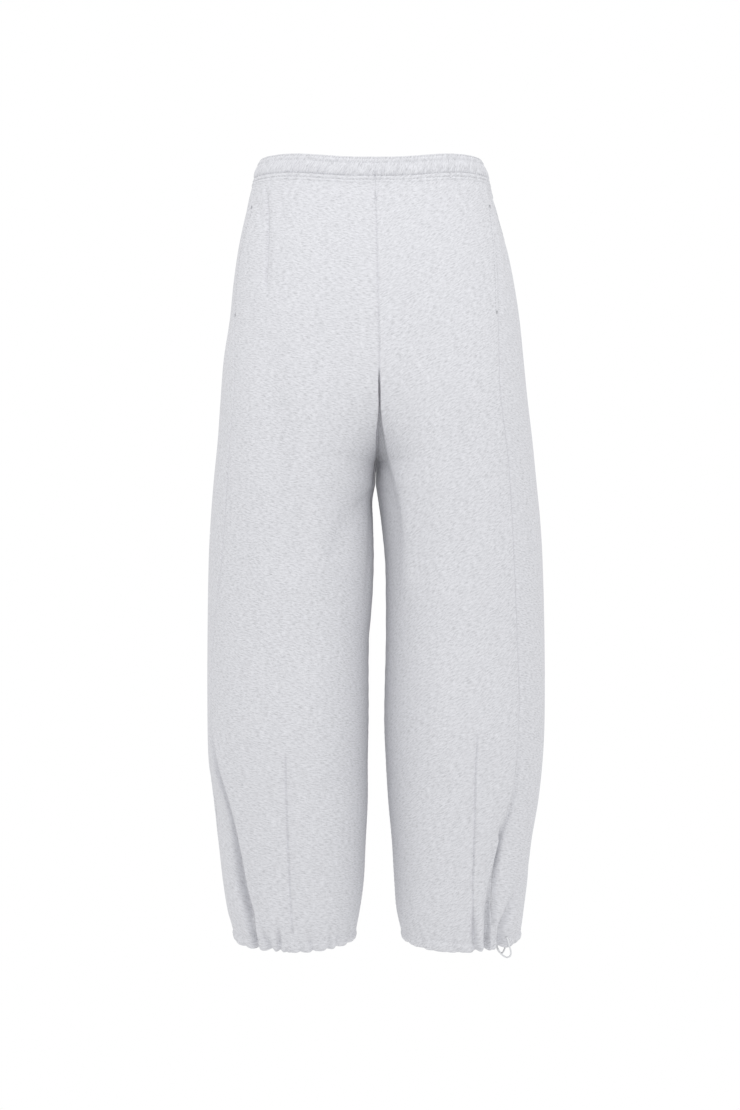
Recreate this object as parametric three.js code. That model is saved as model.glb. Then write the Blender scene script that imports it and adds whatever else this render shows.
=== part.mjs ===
import * as THREE from "three";

// Jogger sweatpants in heather grey fleece, filled out as if worn, with nobody inside.
// Sizes are in millimetres. +Z is up, the front faces -Y, the wearer's right leg is at -X.
// The origin is the middle of the waist opening, where the wearer holds the garment up.

const WALL = 2.2; // brushed fleece
const BAND_WALL = 3.4; // two layers of fleece over the elastic
const CASING_WALL = 3.0; // turned hem with the drawcord inside
const SEAM_GAP = 0.3; // left between pieces that are sewn edge to edge

const BAND_TOP = -2.5; // top edge of the waistband, before its slope
const BAND_FOOT = -26; // where the band is sewn to the leg panels
const STRIP_FOOT = -34; // lower edge of the turned seam allowance below the band
const STRIP_RISE = 0.9;
const SIDE_DROP = 6.5; // the waist hangs this far below its level at the sides and the front
const FRONT_DIP = 8; // and dips further at the centre front
const DIP_POWER = 8; // how closely that dip keeps to the centre
const BACK_RISE = 8; // at the centre back it is above its level
const DIP_FOOT = -200; // the slope of the waist has faded out here
const HEM_DIP = 5; // the hem is lower at the front of the leg than at its side

const LEAVE = -255; // the centre front seam leaves the belly and turns in between the legs
const CROTCH = -385;
const CASING_TOP = -967;
const HEM = -981;
const SPLIT_FOOT = -412; // the thighs lie against each other down to here

const FRONT_GATHERS = 11; // on the front half of one hem
const BACK_GATHERS = 13;
const BAND_GATHERS = 56; // all round the waist
const GATHER_DEPTH = 2.6;
const BAND_GATHER_DEPTH = 1.1;
const GATHER_TOP = -880; // the hem gathers have faded out here

const POCKET_TOP = -62;
const POCKET_FOOT = -292;
const POCKET_REACH = 0.62; // share of the front panel's width that the bag covers
const POCKET_WALL = 1.6; // two layers of jersey lying together
const POCKET_GAP = 1.9; // behind the front panel, where the bag hangs loose
const MOUTH_GAP = 0.7; // at the side seam, where it is sewn in

const VIEW_DISTANCE = 2750; // seams and creases below are given as seen from straight in front
const VIEW_HEIGHT = -501;
const VIEW_SIDE = -1.25;

// Outline by height. Out is the outer edge of a leg and In its inner edge, right and left are the
// wearer's. front and back are the half depths. seam is the side seam as seen from in front.
// centre is the plane of the centre seams, and peak is how far out from it the section is deepest.
const OUTLINE = [
  { z: 0, rightOut: -137, leftOut: 136.5, front: 78, back: 80, centre: 5, peak: 0.1, bend: 2.2 },
  { z: -8, rightOut: -140.5, leftOut: 140, front: 79, back: 81, centre: 5, peak: 0.1, bend: 2.2 },
  { z: -26, rightOut: -146, leftOut: 146.5, front: 81, back: 85, centre: 5, peak: 0.1, bend: 2.2 },
  { z: -58, rightOut: -153.5, leftOut: 155, front: 90, back: 98, centre: 6, peak: 0.13, bend: 2.2 },
  { z: -108, rightOut: -164, leftOut: 168, front: 101, back: 114, centre: 7, peak: 0.18, bend: 2.25 },
  { z: -158, rightOut: -171, leftOut: 177.5, front: 110, back: 129, centre: 8, peak: 0.24, bend: 2.3 },
  { z: -208, rightOut: -176, leftOut: 185, front: 117, back: 138, centre: 9, peak: 0.32, bend: 2.3 },
  { z: -258, rightOut: -183.5, leftOut: 190, front: 120, back: 142, centre: 10, peak: 0.4, bend: 2.3 },
  { z: -308, rightOut: -187.5, leftOut: 195, front: 122, back: 139, centre: 10, peak: 0.46, bend: 2.25 },
  { z: -358, rightOut: -191, leftOut: 201, front: 120, back: 132, centre: 9, peak: 0.49, bend: 2.2 },
  { z: -408, rightOut: -196, leftOut: 206, front: 118, back: 125, centre: 6, peak: 0.5, bend: 2.15 },
  { z: -458, rightOut: -200, leftOut: 211, front: 114, back: 120, centre: 6, peak: 0.5, bend: 2.1 },
  { z: -508, rightOut: -202.5, leftOut: 214, front: 111, back: 117, centre: 6, peak: 0.5, bend: 2.1 },
  { z: -608, rightOut: -204, leftOut: 216.5, front: 106, back: 115, centre: 6, peak: 0.5, bend: 2.1 },
  { z: -708, rightOut: -204, leftOut: 216.5, front: 105, back: 115, centre: 6, peak: 0.5, bend: 2.1 },
  { z: -758, rightOut: -202.5, leftOut: 214, front: 102, back: 111, centre: 6, peak: 0.5, bend: 2.1 },
  { z: -808, rightOut: -196.5, leftOut: 208.5, front: 98, back: 106, centre: 6, peak: 0.5, bend: 2.1 },
  { z: -858, rightOut: -191, leftOut: 200, front: 92, back: 98, centre: 6, peak: 0.5, bend: 2.1 },
  { z: -908, rightOut: -185, leftOut: 195, front: 84, back: 88, centre: 6, peak: 0.5, bend: 2.1 },
  { z: -945, rightOut: -179, leftOut: 190, front: 78, back: 80, centre: 6, peak: 0.5, bend: 2.1 },
  { z: -960, rightOut: -174.5, leftOut: 187.5, front: 74, back: 76, centre: 6, peak: 0.5, bend: 2.1 },
  { z: -985, rightOut: -168, leftOut: 183, front: 67, back: 68, centre: 6, peak: 0.5, bend: 2.1 },
];

// Inner edges of the legs below the crotch.
const INNER = [
  { z: SPLIT_FOOT, right: 5.4, left: 5.8 },
  { z: -433, right: 1.8, left: 9 },
  { z: -458, right: 2.5, left: 12.5 },
  { z: -508, right: 3.5, left: 17.5 },
  { z: -558, right: 1.5, left: 18.5 },
  { z: -608, right: -2.5, left: 18.5 },
  { z: -708, right: -3, left: 16.5 },
  { z: -758, right: -4, left: 18.5 },
  { z: -808, right: -4, left: 21.5 },
  { z: -858, right: -6.5, left: 26 },
  { z: -908, right: -9, left: 29 },
  { z: -945, right: -14, left: 32 },
  { z: -985, right: -22, left: 42 },
];

// The side seams as seen from in front. Both lie forward of the leg's widest line.
const SIDE_SEAM = [
  { z: 0, right: -131, left: 132 },
  { z: -26, right: -142, left: 142 },
  { z: -58, right: -149, left: 149 },
  { z: -108, right: -161, left: 155 },
  { z: -158, right: -168.5, left: 158.5 },
  { z: -208, right: -171, left: 160 },
  { z: -308, right: -172, left: 163 },
  { z: -358, right: -177, left: 169.5 },
  { z: -408, right: -180, left: 174.5 },
  { z: -508, right: -187.5, left: 180 },
  { z: -608, right: -198, left: 184 },
  { z: -658, right: -200, left: 186 },
  { z: -708, right: -199, left: 185.5 },
  { z: -758, right: -190, left: 181.5 },
  { z: -808, right: -176, left: 174 },
  { z: -858, right: -167, left: 160 },
  { z: -908, right: -158.5, left: 148 },
  { z: -945, right: -148, left: 144.5 },
  { z: -985, right: -138, left: 142 },
];

// The largest folds. Each line runs down the cloth, x across and z up, as seen from that face.
// depth is inwards, width is half the fold's width.
const FOLDS = [
  { face: "front", depth: 3.5, width: 16, line: [[-131, -40], [-131, -107], [-133, -180]] },
  { face: "front", depth: 5.5, width: 20, line: [[-130, -176], [-112, -397], [-95, -545]] },
  { face: "front", depth: -4, width: 24, line: [[-96, -200], [-78, -400], [-66, -560]] },
  { face: "front", depth: 4, width: 20, line: [[118, -300], [112, -430], [98, -560]] },
  { face: "front", depth: 3, width: 14, line: [[2, -418], [-30, -462], [-52, -520]] },
  { face: "front", depth: -3, width: 12, line: [[38, -385], [44, -430], [47, -490], [44, -575]] },
  { face: "front", depth: 4.5, width: 9, line: [[-107, -735], [-104, -870], [-97, -975]] },
  { face: "front", depth: 4.5, width: 9, line: [[134, -715], [130, -850], [128, -980]] },
  { face: "front", depth: 7, width: 12, line: [[-206, -760], [-178, -850], [-160, -915], [-140, -985]] },
  { face: "front", depth: 8, width: 12, line: [[186, -790], [168, -852], [152, -905], [149, -975]] },
  { face: "front", depth: 9, width: 10, line: [[202, -872], [181, -927], [164, -970]] },
  { face: "front", depth: -3, width: 26, line: [[-60, -600], [-72, -700], [-60, -800]] },
  { face: "front", depth: -3, width: 26, line: [[80, -600], [88, -700], [84, -800]] },
  { face: "back", depth: 6, width: 22, line: [[-30, -330], [-95, -395], [-165, -430]] },
  { face: "back", depth: 6, width: 22, line: [[42, -335], [105, -398], [172, -440]] },
  { face: "back", depth: 5.5, width: 20, line: [[-150, -470], [-118, -600], [-96, -740]] },
  { face: "back", depth: 5.5, width: 20, line: [[160, -480], [132, -610], [108, -745]] },
  { face: "back", depth: -3, width: 26, line: [[-80, -560], [-60, -680], [-62, -800]] },
  { face: "back", depth: -3, width: 26, line: [[88, -570], [74, -690], [80, -810]] },
  { face: "back", depth: 5, width: 12, line: [[-66, -790], [-78, -880], [-72, -975]] },
  { face: "back", depth: 5, width: 12, line: [[84, -800], [96, -885], [92, -975]] },
];

// Heights of the rows of points down a leg panel, and how many columns the front and back have there.
const ROWS = [
  { from: BAND_FOOT - SEAM_GAP, to: STRIP_FOOT, steps: 1, front: 26, back: 26 },
  { from: STRIP_FOOT, to: STRIP_FOOT - 3, steps: 1, front: 12, back: 12 },
  { from: STRIP_FOOT - 3, to: LEAVE, steps: 8, front: 12, back: 12 },
  { from: CROTCH, to: -480, steps: 3, front: 16, back: 16 },
  { from: -480, to: -720, steps: 8, front: 16, back: 16 },
  { from: -720, to: GATHER_TOP, steps: 6, front: 16, back: 16 },
  { from: GATHER_TOP, to: CASING_TOP, steps: 4, front: 2 * FRONT_GATHERS, back: 2 * BACK_GATHERS },
];
const CROTCH_STEPS = 6; // rows on the turn of the crotch, closer together towards its foot

const HEM_CORD_THICKNESS = 2;
// The drawcord leaves the casing at the first point, hangs below the hem, goes up behind it, comes
// down again in a smaller loop and ends in the casing.
const HEM_CORD = [
  [166.2, -51.8, -970],
  [167.4, -53.0, -971.6],
  [168.2, -53.2, -974.6],
  [169.2, -52.6, -978.8],
  [170.4, -51.2, -983.2],
  [171.5, -49.0, -987.2],
  [171.8, -46.6, -991.2],
  [170.4, -44.8, -994.6],
  [166.8, -43.4, -996],
  [162.4, -42.4, -993.8],
  [158.4, -41.8, -989.6],
  [155.8, -41.4, -984.6],
  [154.6, -41.0, -979.4],
  [154.2, -40.0, -974.4],
  [154.4, -37.2, -970.6],
  [154.8, -33.6, -970.4],
  [155.0, -31.2, -974],
  [155.0, -30.6, -979.6],
  [155.6, -30.8, -986],
  [158.2, -31.0, -991.2],
  [161.8, -31.4, -992.8],
  [164.4, -32.0, -989],
  [166.0, -33.0, -984],
  [167.4, -34.4, -979],
  [168.2, -35.2, -975.6],
];

const CLOTH = { color: 0xd2d4d8, roughness: 0.95, metalness: 0 };
const cloth = () => new THREE.MeshStandardMaterial(CLOTH);
const pocketing = () => new THREE.MeshStandardMaterial({ color: 0xdadbde, roughness: 0.95, metalness: 0 });
const cordage = () => new THREE.MeshStandardMaterial({ color: 0xdedfe1, roughness: 0.8, metalness: 0 });

const mix = (a, b, t) => a + (b - a) * t;
const clamp = (value, low, high) => Math.min(high, Math.max(low, value));
const ease = (t) => clamp(t, 0, 1) ** 2 * (3 - 2 * clamp(t, 0, 1));
const fade = (z, from, to) => ease((z - from) / (to - from));

// A smooth curve through one column of a table whose rows go down.
function read(table, column, z) {
  const last = table.length - 1;
  if (z >= table[0].z) return table[0][column];
  if (z <= table[last].z) return table[last][column];
  const i = table.findIndex((row) => row.z <= z) - 1;
  const slope = (k) => {
    const a = table[Math.max(k - 1, 0)];
    const b = table[Math.min(k + 1, last)];
    return (b[column] - a[column]) / (b.z - a.z);
  };
  const span = table[i + 1].z - table[i].z;
  const t = (z - table[i].z) / span;
  const rise = table[i + 1][column] - table[i][column];
  const start = slope(i) * span;
  const end = slope(i + 1) * span;
  return table[i][column] + start * t + (3 * rise - 2 * start - end) * t ** 2 + (start + end - 2 * rise) * t ** 3;
}

const sideName = (side) => (side < 0 ? "right" : "left");

// The edge of a leg next to the other one: the centre seam above the crotch, the inseam below it.
function innerEdge(side, z) {
  const centre = read(OUTLINE, "centre", z) + (side * SEAM_GAP) / 2;
  if (z >= CROTCH) return centre;
  const foot = read(INNER, sideName(side), Math.min(z, SPLIT_FOOT));
  return mix(centre, foot, fade(z, CROTCH, SPLIT_FOOT));
}

// How far from the deepest line the centre seam lies, 1 on the belly and 0 at the crotch.
const riseShare = (z) => Math.sqrt(1 - clamp((z - LEAVE) / (CROTCH - LEAVE), 0, 1) ** 2);

// One leg's section at a height, from its inner edge round the front, the side and the back.
// A whole one goes on round the inside of the thigh, also above the crotch.
const QUARTER = 40;
const sections = new Map();
function section(side, z, whole = false) {
  const key = `${side} ${z.toFixed(4)} ${whole}`;
  if (sections.has(key)) return sections.get(key);
  const power = 2 / read(OUTLINE, "bend", z);
  const out = read(OUTLINE, `${sideName(side)}Out`, z);
  const inner = innerEdge(side, z);
  const deepest = mix(inner, out, read(OUTLINE, "peak", z));
  const turn = whole ? Math.PI / 2 : Math.max(Math.acos(riseShare(z) ** (1 / power)), 1e-3);
  const quarter = (share, edge, depth, reach) => {
    const angle = reach * share;
    return [mix(deepest, edge, (Math.sin(angle) / Math.sin(reach)) ** power), depth * Math.cos(angle) ** power];
  };
  const front = -read(OUTLINE, "front", z);
  const back = read(OUTLINE, "back", z);
  const points = [];
  for (let i = 0; i < QUARTER; i++) points.push(quarter(1 - i / QUARTER, inner, front, turn));
  for (let i = 0; i < QUARTER; i++) points.push(quarter(i / QUARTER, out, front, Math.PI / 2));
  for (let i = 0; i < QUARTER; i++) points.push(quarter(1 - i / QUARTER, out, back, Math.PI / 2));
  for (let i = 0; i <= QUARTER; i++) points.push(quarter(i / QUARTER, inner, back, turn));
  const along = [0];
  for (let i = 1; i < points.length; i++) {
    along.push(along[i - 1] + Math.hypot(points[i][0] - points[i - 1][0], points[i][1] - points[i - 1][1]));
  }
  const shape = { side, points, along, length: along[along.length - 1] };
  shape.seam = seamPlace(shape, side, z);
  sections.set(key, shape);
  return shape;
}

// Where a point shows when it is seen from straight in front, in the plane of the origin.
function seen(x, y, z) {
  const scale = VIEW_DISTANCE / (VIEW_DISTANCE + y);
  return [VIEW_SIDE + (x - VIEW_SIDE) * scale, VIEW_HEIGHT + (z - VIEW_HEIGHT) * scale];
}

// The side seam's place along a section, on the outer quarter of its front.
function seamPlace({ points, along }, side, z) {
  const aim = read(SIDE_SEAM, sideName(side), z);
  for (let i = QUARTER; i < 2 * QUARTER; i++) {
    const here = side * seen(...points[i], z)[0];
    const next = side * seen(...points[i + 1], z)[0];
    if (next >= side * aim) return mix(along[i], along[i + 1], (side * aim - here) / (next - here));
  }
  return along[2 * QUARTER];
}

// A point of a section and the direction out of the cloth there, level with the ground.
function onSection({ side, points, along, length }, place) {
  const s = clamp(place, 0, length);
  let i = along.findIndex((a) => a > s) - 1;
  if (i < 0) i = points.length - 2;
  const t = (s - along[i]) / (along[i + 1] - along[i]);
  const before = points[Math.max(i - 1, 0)];
  const after = points[Math.min(i + 2, points.length - 1)];
  const scale = side / Math.hypot(after[0] - before[0], after[1] - before[1]);
  return {
    x: mix(points[i][0], points[i + 1][0], t),
    y: mix(points[i][1], points[i + 1][1], t),
    out: [(after[1] - before[1]) * scale, -(after[0] - before[0]) * scale],
  };
}

// How deep the cloth lies in a fold line, which fades in and out over its first and last third.
function foldDepth({ depth, width, line }, x, z) {
  let best = Infinity;
  let place = 0;
  for (let i = 0; i + 1 < line.length; i++) {
    const [ax, az] = line[i];
    const [bx, bz] = line[i + 1];
    const t = clamp(((x - ax) * (bx - ax) + (z - az) * (bz - az)) / ((bx - ax) ** 2 + (bz - az) ** 2), 0, 1);
    const gap = Math.hypot(x - mix(ax, bx, t), z - mix(az, bz, t));
    if (gap < best) {
      best = gap;
      place = (i + t) / (line.length - 1);
    }
  }
  const ends = fade(place, 0, 1 / 3) * fade(1 - place, 0, 1 / 6);
  return depth * ends * Math.exp(-((best / width) ** 2));
}

const unevenness = (i) => 0.8 + 0.35 * Math.sin(2.4 * i + 0.7) * Math.sin(0.9 * i);

// The wave of the hem gathers: hollows at the seams and ridges between them.
function hemWave(face, share, z) {
  const count = face === "front" ? FRONT_GATHERS : BACK_GATHERS;
  const wave = -Math.cos(2 * Math.PI * count * share) * unevenness(Math.round(count * share));
  return GATHER_DEPTH * wave * fade(z, GATHER_TOP, CASING_TOP) ** 1.5;
}

// How far the waist is off its level. reach is 0 at the side and 1 at the centre front and back.
function waistSlope(y, reach) {
  if (y < 0) return -SIDE_DROP - FRONT_DIP * reach ** DIP_POWER;
  return BACK_RISE * reach ** 2 - SIDE_DROP * (1 - reach ** 2);
}

// A point on the cloth's outer face: a leg, a height before the waist's slope, a place along the section.
function clothPoint(side, z, place) {
  const shape = section(side, z);
  const { x, y, out } = onSection(shape, place);
  const face = place <= shape.seam ? "front" : "back";
  const share = face === "front" ? place / shape.seam : (shape.length - place) / (shape.length - shape.seam);
  const reach = clamp(Math.abs(y) / read(OUTLINE, face, z), 0, 1);
  const slope = waistSlope(y, reach) * (1 - fade(z, BAND_FOOT, DIP_FOOT));
  const height = z + slope - (y < 0 ? HEM_DIP * reach ** 2 * fade(z, GATHER_TOP, HEM) : 0);
  let push = hemWave(face, share, z);
  const [u, v] = y < 0 ? seen(x, y, height) : [x, height];
  for (const fold of FOLDS) if (fold.face === (y < 0 ? "front" : "back")) push -= foldDepth(fold, u, v);
  return new THREE.Vector3(x + push * out[0], y + push * out[1], height);
}

// The arc from the side seam to the inner edge if the thigh were whole at this height.
function wholeReach(side, face, z) {
  const whole = section(side, z, true);
  return face === "front" ? whole.seam : whole.length - whole.seam;
}

// The place along a section of a share of the front or back panel, counted from its inner edge.
// On the turn of the crotch the columns next to the side seam keep their width as below it.
const CROWDING = 6;
function panelPlace(side, face, z, share) {
  const { seam, length } = section(side, z);
  const sign = face === "front" ? -1 : 1;
  const reach = (face === "front" ? seam : length - seam) - (z > CROTCH ? 0 : SEAM_GAP / 2);
  const lost = wholeReach(side, face, z) - reach;
  const fromSeam = 1 - share;
  const power = clamp((0.9 * (reach + lost)) / Math.max(lost, 1e-6), 1, CROWDING);
  const turn = fade(z, LEAVE, LEAVE - 50);
  const crowded = (reach + lost) * fromSeam - lost * fromSeam ** power;
  return seam + sign * Math.max(mix(reach * fromSeam, crowded, turn), SEAM_GAP / 2);
}

// The place on another height's section that lies nearest to a point.
function nearestPlace({ points, along }, x, y) {
  let best = Infinity;
  let place = 0;
  for (let i = 0; i + 1 < points.length; i++) {
    const [ax, ay] = points[i];
    const [bx, by] = points[i + 1];
    const t = clamp(((x - ax) * (bx - ax) + (y - ay) * (by - ay)) / ((bx - ax) ** 2 + (by - ay) ** 2), 0, 1);
    const gap = Math.hypot(x - mix(ax, bx, t), y - mix(ay, by, t));
    if (gap < best) {
      best = gap;
      place = mix(along[i], along[i + 1], t);
    }
  }
  return place;
}

// The cloth's outer face at a place on a section, with the direction straight out of it.
const STEP = 1;
const RISE = 2;
function clothPlace(side, z, place) {
  const shape = section(side, z);
  const plain = onSection(shape, place);
  const point = clothPoint(side, z, place);
  const ahead = clothPoint(side, z, clamp(place + STEP, 0, shape.length));
  const behind = clothPoint(side, z, clamp(place - STEP, 0, shape.length));
  const round = ahead.sub(behind).setZ(0).normalize();
  const out = new THREE.Vector3(side * round.y, -side * round.x, 0);
  const [higher, lower] = [z + RISE, z - RISE].map((height) => {
    const other = section(side, height);
    return clothPoint(side, height, nearestPlace(other, plain.x, plain.y)).sub(point);
  });
  const slope = (higher.dot(out) - lower.dot(out)) / (higher.z - lower.z);
  out.setZ(-slope).normalize();
  if (place < STEP || place > shape.length - STEP) {
    // Next to the other leg the wall stays on its own side of the centre seam.
    out.setX(side * Math.min(0, side * out.x)).normalize();
  }
  return { point, out };
}

const panelPoint = (side, face, z, share) => clothPlace(side, z, panelPlace(side, face, z, share));

// A closed body from rows of points. Rows may have different numbers of columns.
class Body {
  constructor() {
    this.points = [];
    this.faces = [];
  }

  row(points) {
    const start = this.points.length;
    this.points.push(...points);
    return points.map((_, i) => start + i);
  }

  // Triangles between two rows, taking the next point of whichever row is behind.
  join(a, b, closed = false) {
    const at = (row, i) => row[i % row.length];
    const na = closed ? a.length : a.length - 1;
    const nb = closed ? b.length : b.length - 1;
    let i = 0;
    let j = 0;
    while (i < na || j < nb) {
      if (j >= nb || (i < na && (i + 1) / na <= (j + 1) / nb)) {
        this.faces.push([at(a, i), at(a, i + 1), at(b, j)]);
        i += 1;
      } else {
        this.faces.push([at(b, j + 1), at(b, j), at(a, i)]);
        j += 1;
      }
    }
  }

  // Faces are turned outwards, which a positive volume shows.
  mesh(name, material) {
    let volume = 0;
    for (const [a, b, c] of this.faces) {
      volume += this.points[a].dot(this.points[b].clone().cross(this.points[c]));
    }
    const geometry = new THREE.BufferGeometry();
    geometry.setAttribute("position", new THREE.Float32BufferAttribute(this.points.flatMap((p) => p.toArray()), 3));
    geometry.setIndex(this.faces.flatMap((face) => (volume < 0 ? [face[0], face[2], face[1]] : face)));
    geometry.computeVertexNormals();
    const mesh = new THREE.Mesh(geometry, material);
    mesh.name = name;
    return mesh;
  }
}

// A wall from its outer and inner rows, open-edged or running all the way round.
function wall(name, outer, inner, material, closed) {
  const body = new Body();
  const outside = outer.map((points) => body.row(points));
  const inside = inner.map((points) => body.row(points));
  for (let i = 0; i + 1 < outside.length; i++) body.join(outside[i], outside[i + 1], closed);
  for (let i = 0; i + 1 < inside.length; i++) body.join(inside[i + 1], inside[i], closed);
  body.join(inside[0], outside[0], closed);
  body.join(outside[outside.length - 1], inside[inside.length - 1], closed);
  if (!closed) {
    body.join(outside.map((row) => row[0]), inside.map((row) => row[0]));
    body.join(inside.map((row) => row[row.length - 1]), outside.map((row) => row[row.length - 1]));
  }
  return body.mesh(name, material);
}

const inwards = ({ point, out }, depth) => point.clone().addScaledVector(out, -depth);
const outwards = ({ point, out }, height) => point.clone().add(new THREE.Vector3(out.x, out.y, 0).multiplyScalar(height));

function panelRows(face) {
  const rows = [];
  for (const { from, to, steps, ...columns } of ROWS) {
    if (from === CROTCH) {
      for (let i = 1; i < CROTCH_STEPS; i++) {
        const z = mix(LEAVE, CROTCH, Math.sin(((Math.PI / 2) * i) / CROTCH_STEPS));
        rows.push({ z, columns: columns[face] });
      }
    }
    for (let i = 0; i < steps; i++) rows.push({ z: mix(from, to, i / steps), columns: columns[face] });
    if (to === LEAVE || to === CASING_TOP) rows.push({ z: to, columns: columns[face] });
  }
  return rows;
}

// The turned seam allowance under the waistband stands out from the top of a leg panel.
const stripRise = (z) => (z >= STRIP_FOOT ? STRIP_RISE : 0);

function legPanel(side, face) {
  const outer = [];
  const inner = [];
  for (const { z, columns } of panelRows(face)) {
    const places = Array.from({ length: columns + 1 }, (_, i) => panelPoint(side, face, z, i / columns));
    outer.push(places.map((place) => outwards(place, stripRise(z))));
    inner.push(places.map((place) => inwards(place, WALL)));
  }
  return wall(`${face}_${sideName(side)}`, outer, inner, cloth(), false);
}

// A place on the ring of the waist, share 0 at the centre front and going round by the wearer's right.
function waistPoint(z, share) {
  const side = share < 0.5 ? -1 : 1;
  const { length } = section(side, z);
  const place = (side < 0 ? 2 * share : 2 - 2 * share) * length;
  const { x, y, out } = onSection(section(side, z), place);
  const reach = clamp(Math.abs(y) / read(OUTLINE, y < 0 ? "front" : "back", z), 0, 1);
  return { point: new THREE.Vector3(x, y, z + waistSlope(y, reach)), out: new THREE.Vector3(...out, 0) };
}

// Outer rows of the waistband from its foot to its top: the elastic's tunnel puckers between two
// rows of stitching. rise is how far the cloth stands out, pucker how much of the gathers it shows.
const BAND_ROWS = [
  { z: BAND_FOOT, rise: 0, pucker: 0.5 },
  { z: BAND_FOOT + 3, rise: 1.2, pucker: 1 },
  { z: -16, rise: 1.8, pucker: 1 },
  { z: -10.5, rise: 0.6, pucker: 0.5 },
  { z: -7.5, rise: 1.2, pucker: 0.7 },
  { z: BAND_TOP - 1, rise: 0.4, pucker: 0.6 },
];
const BAND_INNER_COLUMNS = BAND_GATHERS;

function waistband() {
  const columns = 2 * BAND_GATHERS;
  const outer = BAND_ROWS.map(({ z, rise, pucker }) =>
    Array.from({ length: columns }, (_, i) => {
      const wave = (i % 2 ? 1 : -1) * BAND_GATHER_DEPTH * pucker * unevenness(i);
      return outwards(waistPoint(z, i / columns), rise + wave);
    }),
  );
  const ring = (z, depth) =>
    Array.from({ length: BAND_INNER_COLUMNS }, (_, i) => inwards(waistPoint(z, i / BAND_INNER_COLUMNS), depth));
  outer.push(ring(BAND_TOP, BAND_WALL / 2));
  const inner = [ring(BAND_FOOT, BAND_WALL), ring(-14, BAND_WALL), ring(BAND_TOP - 1, BAND_WALL)];
  return wall("waistband", outer, inner, cloth(), true);
}

// Outer rows of a hem casing from its top to its foot, with rise as for the waistband.
const CASING_ROWS = [
  { z: CASING_TOP - SEAM_GAP, rise: 0 },
  { z: CASING_TOP - 3, rise: 1.2 },
  { z: -975, rise: 1.8 },
  { z: HEM + 1.5, rise: 1 },
  { z: HEM, rise: -0.6 },
];

function hemCasing(side) {
  const shares = [];
  for (let i = 0; i < 2 * FRONT_GATHERS; i++) shares.push(["front", i / (2 * FRONT_GATHERS)]);
  for (let i = 2 * BACK_GATHERS; i > 0; i--) shares.push(["back", i / (2 * BACK_GATHERS)]);
  const ring = (z) =>
    shares.map(([face, share]) => {
      const { seam, length } = section(side, z);
      const place = face === "front" ? seam * share : length - (length - seam) * share;
      const plain = onSection(section(side, z), place);
      return { point: clothPoint(side, z, place), out: new THREE.Vector3(...plain.out, 0) };
    });
  const outer = CASING_ROWS.map(({ z, rise }) => ring(z).map((place) => outwards(place, rise)));
  const inner = [CASING_ROWS[0].z, -975, HEM].map((z) => ring(z).map((place) => inwards(place, CASING_WALL)));
  return wall(`hem_casing_${sideName(side)}`, outer, inner, cloth(), true);
}

// A pocket bag lies flat behind the front panel, its mouth along the side seam and its foot rounded.
const POCKET_ROWS = 7;
const POCKET_COLUMNS = 5;
function pocketBag(side) {
  const outer = [];
  const inner = [];
  for (let i = 0; i <= POCKET_ROWS; i++) {
    const down = i / POCKET_ROWS;
    const z = mix(POCKET_TOP, POCKET_FOOT, down);
    const reach = POCKET_REACH * (0.62 + 0.38 * Math.sin(Math.PI * clamp(0.15 + 0.6 * down, 0, 1)));
    const start = 0.008 + 0.3 * fade(down, 0.75, 1);
    const end = reach * Math.sqrt(1 - 0.6 * fade(down, 0.7, 1));
    const row = Array.from({ length: POCKET_COLUMNS + 1 }, (_, j) => {
      const share = 1 - mix(start, end, j / POCKET_COLUMNS);
      return panelPoint(side, "front", z, share);
    });
    const gaps = row.map((_, j) => (j === 0 ? MOUTH_GAP : POCKET_GAP));
    outer.push(row.map((place, j) => inwards(place, WALL + gaps[j])));
    inner.push(row.map((place, j) => inwards(place, WALL + gaps[j] + POCKET_WALL)));
  }
  return wall(`pocket_bag_${sideName(side)}`, outer, inner, pocketing(), false);
}

const CORD_SIDES = 8;
const CORD_STEPS = 27;
function hemCord() {
  const ring = Array.from({ length: CORD_SIDES }, (_, i) => {
    const angle = (2 * Math.PI * i) / CORD_SIDES;
    return new THREE.Vector2(Math.cos(angle), Math.sin(angle)).multiplyScalar(HEM_CORD_THICKNESS / 2);
  });
  const path = new THREE.CatmullRomCurve3(HEM_CORD.map((point) => new THREE.Vector3(...point)));
  const options = { steps: CORD_STEPS, bevelEnabled: false, extrudePath: path };
  const mesh = new THREE.Mesh(new THREE.ExtrudeGeometry(new THREE.Shape(ring), options), cordage());
  mesh.name = "hem_drawcord_left";
  return mesh;
}

const sweatpants = new THREE.Group();
sweatpants.add(waistband());
for (const side of [-1, 1]) {
  sweatpants.add(legPanel(side, "front"), legPanel(side, "back"), pocketBag(side), hemCasing(side));
}
sweatpants.add(hemCord());

export default sweatpants;
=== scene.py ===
# %% [markdown]
# # Jogger sweatpants in heather grey fleece
# The garment is filled out as if worn, with nobody inside, and hangs from its waist. The packed
# model gives its pieces at their real size. This script dresses each one in cloth: a fine thin
# shell on the same form, with its folds, gathers, seams, stitches and brushed melange finish.

import math

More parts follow.
